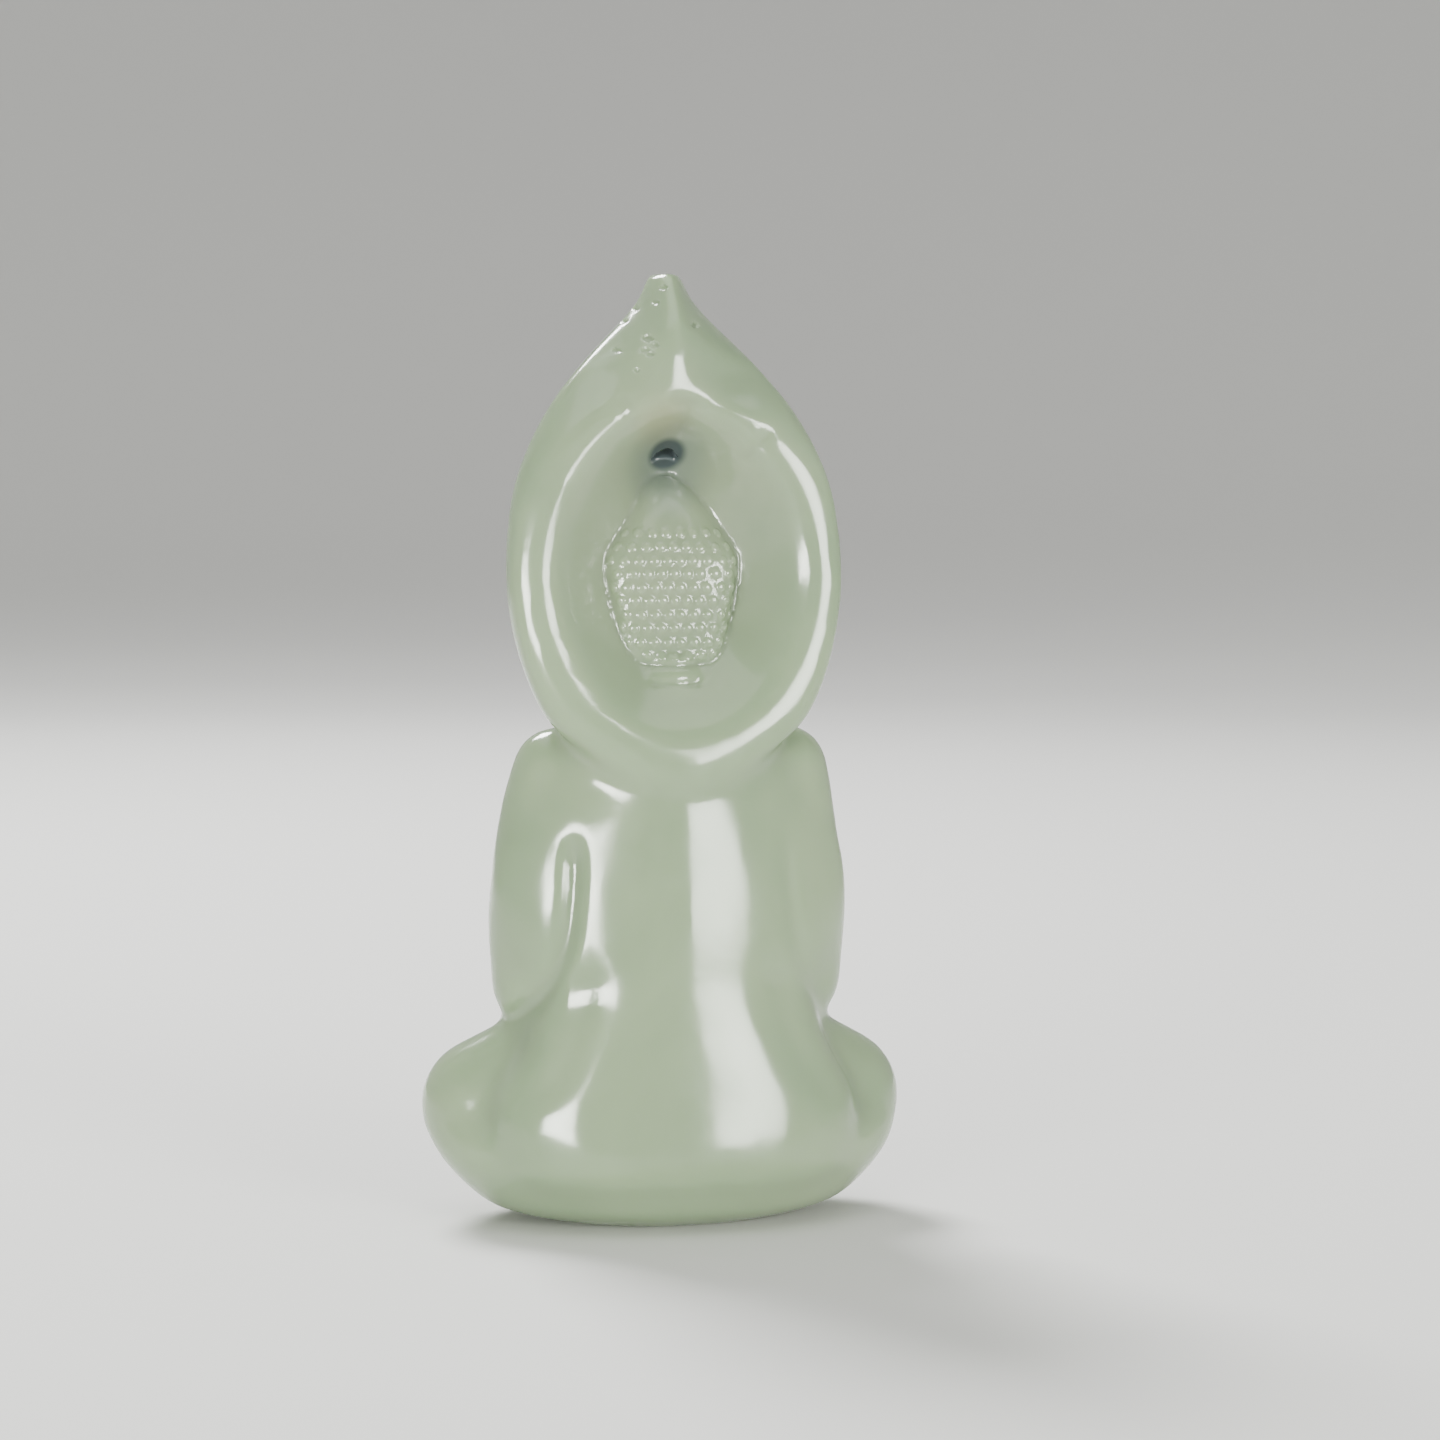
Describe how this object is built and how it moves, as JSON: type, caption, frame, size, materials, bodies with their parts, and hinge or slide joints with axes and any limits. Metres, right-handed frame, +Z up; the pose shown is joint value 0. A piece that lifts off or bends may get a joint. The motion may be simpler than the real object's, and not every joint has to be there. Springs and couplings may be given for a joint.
{
  "type": "seated figure carving",
  "caption": "Small polished stone carving of a seated robed figure under a pointed petal-shaped aureole hollowed at the back, with a cord hole above the head.",
  "frame": {"origin": "point of the ground flat under the seat that lies straight below the middle of the torso", "axes": "+Z up through the tip of the aureole, -Y the way the figure faces, +X the figure's own left side"},
  "size_m": [0.0286, 0.0173, 0.056],
  "materials": {
    "nephrite": "high waxy polish, slightly translucent"
  },
  "bodies": {
    "root": {"buddha_carving": "nephrite"}
  },
  "joints": []
}
